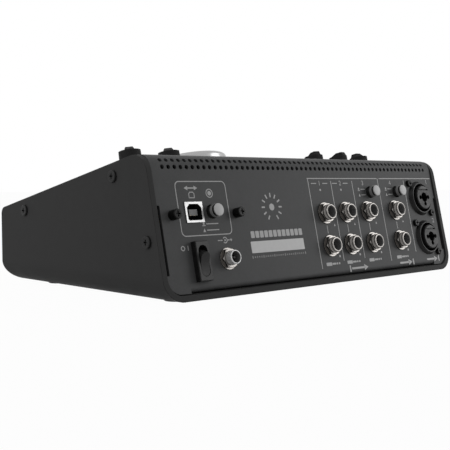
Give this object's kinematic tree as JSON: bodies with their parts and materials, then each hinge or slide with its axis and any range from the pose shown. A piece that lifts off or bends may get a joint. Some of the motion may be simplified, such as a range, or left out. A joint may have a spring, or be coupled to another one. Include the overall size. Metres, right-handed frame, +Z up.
{
  "type": "studio monitor controller",
  "caption": "Wedge-shaped desktop studio monitor controller with a large volume knob, small pointer knobs, push buttons and a leaning rear socket panel.",
  "frame": {"origin": "under the middle of the part, level with the undersides of its feet", "axes": "+X to the user's right, +Y to the rear socket panel, +Z up"},
  "size_m": [0.2562, 0.168, 0.0837],
  "materials": {
    "case_paint": "satin dark grey powder coat",
    "panel_paint": "satin charcoal powder coat",
    "black_screw": "black zinc",
    "rubber": "matt",
    "board": "green solder mask",
    "brass": "plain",
    "cable": "grey ribbon",
    "nickel": "bright nickel plate",
    "steel": "plain",
    "black_plastic": "fine satin",
    "knob_black": "soft satin",
    "knob_silver": "satin anodised",
    "button_grey": "satin light grey",
    "light_lens": "diffuse green"
  },
  "bodies": {
    "case": {"board_screws": "black_screw", "chassis_tray": "case_paint", "combo_jack_screws": "black_screw", "dc_jack": "nickel", "dc_jack_nut": "nickel", "dc_jack_washer": "nickel", "flat_cable": "cable", "foot_screws": "black_screw", "headphone_jacks": "nickel", "input_1_combo_jack": "black_plastic", "input_2_combo_jack": "black_plastic", "io_board": "board", "io_board_standoffs": "brass", "jack_nuts": "nickel", "jack_washers": "nickel", "level_lights": "light_lens", "main_board": "board", "main_board_standoffs": "brass", "monitor_a_jacks": "nickel", "monitor_b_jacks": "nickel", "post_screws": "black_screw", "potentiometer_nuts": "steel", "potentiometers": "steel", "power_switch_frame": "black_plastic", "rear_button_switches": "black_plastic", "rubber_feet": "rubber", "side_screws": "black_screw", "source_jacks": "nickel", "talkback_microphone": "steel", "top_button_switches": "black_plastic", "top_shell": "panel_paint", "two_track_jacks": "nickel", "usb_socket_insert": "black_plastic", "usb_socket_shell": "nickel", "volume_potentiometer": "steel"},
    "input_1_gain_knob": {"input_1_gain_knob": "knob_black", "input_1_gain_shaft": "steel"},
    "input_2_gain_knob": {"input_2_gain_knob": "knob_black", "input_2_gain_shaft": "steel"},
    "source_level_knob": {"source_level_knob": "knob_black", "source_level_shaft": "steel"},
    "phones_1_level_knob": {"phones_1_level_knob": "knob_black", "phones_1_level_shaft": "steel"},
    "phones_2_level_knob": {"phones_2_level_knob": "knob_black", "phones_2_level_shaft": "steel"},
    "volume_knob": {"volume_knob": "knob_silver", "volume_shaft": "steel"},
    "record_button": {"record_button": "button_grey"},
    "two_track_button": {"two_track_button": "button_grey"},
    "source_button": {"source_button": "button_grey"},
    "select_source_button": {"select_source_button": "button_grey"},
    "select_two_track_button": {"select_two_track_button": "button_grey"},
    "select_computer_button": {"select_computer_button": "button_grey"},
    "monitor_a_button": {"monitor_a_button": "button_grey"},
    "monitor_b_button": {"monitor_b_button": "button_grey"},
    "mono_button": {"mono_button": "button_grey"},
    "mute_button": {"mute_button": "button_grey"},
    "dim_button": {"dim_button": "button_grey"},
    "talkback_button": {"talkback_button": "button_grey"},
    "power_rocker": {"power_rocker": "black_plastic"}
  },
  "joints": [
    {"name": "input_1_gain_turn", "type": "hinge", "parent": "case", "child": "input_1_gain_knob", "pos_m": [-0.108, 0.01825, 0.0684], "axis": [0, -0.2113, 0.9774], "range_deg": [-60, 240]},
    {"name": "input_2_gain_turn", "type": "hinge", "parent": "case", "child": "input_2_gain_knob", "pos_m": [-0.0848, 0.01825, 0.0684], "axis": [0, -0.2113, 0.9774], "range_deg": [-155, 145]},
    {"name": "source_level_turn", "type": "hinge", "parent": "case", "child": "source_level_knob", "pos_m": [-0.0584, 0.01825, 0.0684], "axis": [0, -0.2113, 0.9774], "range_deg": [-135, 165]},
    {"name": "phones_1_level_turn", "type": "hinge", "parent": "case", "child": "phones_1_level_knob", "pos_m": [0.0704, 0.01825, 0.0684], "axis": [0, -0.2113, 0.9774], "range_deg": [-300, 0]},
    {"name": "phones_2_level_turn", "type": "hinge", "parent": "case", "child": "phones_2_level_knob", "pos_m": [0.0988, 0.01825, 0.0684], "axis": [0, -0.2113, 0.9774], "range_deg": [-300, 0]},
    {"name": "volume_turn", "type": "hinge", "parent": "case", "child": "volume_knob", "pos_m": [0.022, -0.01821, 0.06052], "axis": [0, -0.2113, 0.9774], "range_deg": [-210, 90]},
    {"name": "record_button_push", "type": "slide", "parent": "case", "child": "record_button", "axis": [0, -0.9751, -0.2215], "range_m": [0, 0.002], "stiffness_N_per_m": 300},
    {"name": "two_track_button_push", "type": "slide", "parent": "case", "child": "two_track_button", "axis": [0, -0.9751, -0.2215], "range_m": [0, 0.002], "stiffness_N_per_m": 300},
    {"name": "source_button_push", "type": "slide", "parent": "case", "child": "source_button", "axis": [0, -0.9751, -0.2215], "range_m": [0, 0.002], "stiffness_N_per_m": 300},
    {"name": "select_source_button_push", "type": "slide", "parent": "case", "child": "select_source_button", "axis": [0, 0.2113, -0.9774], "range_m": [0, 0.001], "stiffness_N_per_m": 400},
    {"name": "select_two_track_button_push", "type": "slide", "parent": "case", "child": "select_two_track_button", "axis": [0, 0.2113, -0.9774], "range_m": [0, 0.001], "stiffness_N_per_m": 400},
    {"name": "select_computer_button_push", "type": "slide", "parent": "case", "child": "select_computer_button", "axis": [0, 0.2113, -0.9774], "range_m": [0, 0.001], "stiffness_N_per_m": 400},
    {"name": "monitor_a_button_push", "type": "slide", "parent": "case", "child": "monitor_a_button", "axis": [0, 0.2113, -0.9774], "range_m": [0, 0.001], "stiffness_N_per_m": 400},
    {"name": "monitor_b_button_push", "type": "slide", "parent": "case", "child": "monitor_b_button", "axis": [0, 0.2113, -0.9774], "range_m": [0, 0.001], "stiffness_N_per_m": 400},
    {"name": "mono_button_push", "type": "slide", "parent": "case", "child": "mono_button", "axis": [0, 0.2113, -0.9774], "range_m": [0, 0.001], "stiffness_N_per_m": 400},
    {"name": "mute_button_push", "type": "slide", "parent": "case", "child": "mute_button", "axis": [0, 0.2113, -0.9774], "range_m": [0, 0.001], "stiffness_N_per_m": 400},
    {"name": "dim_button_push", "type": "slide", "parent": "case", "child": "dim_button", "axis": [0, 0.2113, -0.9774], "range_m": [0, 0.001], "stiffness_N_per_m": 400},
    {"name": "talkback_button_push", "type": "slide", "parent": "case", "child": "talkback_button", "axis": [0, 0.2113, -0.9774], "range_m": [0, 0.001], "stiffness_N_per_m": 400},
    {"name": "power_rock", "type": "hinge", "parent": "case", "child": "power_rocker", "pos_m": [0.1001, 0.07306, 0.0208], "axis": [1, 0, 0], "range_deg": [0, 24]}
  ]
}
